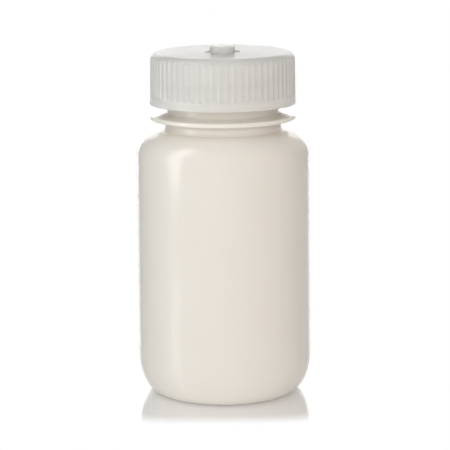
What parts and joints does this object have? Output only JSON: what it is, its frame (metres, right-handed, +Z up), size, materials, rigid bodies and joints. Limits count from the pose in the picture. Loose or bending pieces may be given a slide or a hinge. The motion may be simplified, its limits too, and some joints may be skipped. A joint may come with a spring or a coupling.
{
  "type": "wide-mouth bottle",
  "caption": "Round translucent plastic laboratory bottle with a wide threaded mouth, a ribbed screw cap and a sealing liner.",
  "frame": {"origin": "centre of the base, on the surface that the bottle stands on", "axes": "+Z up along the bottle's axis, through the middle of the mouth and the cap; X and Y lie in the surface it stands on"},
  "size_m": [0.0507, 0.0506, 0.1013],
  "materials": {
    "bottle_plastic": "translucent natural polyethylene, satin",
    "cap_plastic": "translucent natural polypropylene, semi-gloss",
    "liner_foam": "matt closed-cell polyethylene foam"
  },
  "bodies": {
    "bottle": {"bottle": "bottle_plastic"},
    "liner": {"cap_liner": "liner_foam"},
    "cap": {"screw_cap": "cap_plastic"}
  },
  "joints": [
    {"name": "cap_lift", "type": "slide", "parent": "bottle", "child": "liner", "axis": [0, 0, 1], "range_m": [0, 0.0159]},
    {"name": "cap_turn", "type": "hinge", "parent": "liner", "child": "cap", "pos_m": [0, 0, 0.09], "axis": [0, 0, 1], "range_deg": [0, 1350]}
  ],
  "couplings": [
    {"joint": "cap_lift", "follows": "cap_turn", "m_per_rad": 0.0006737}
  ]
}
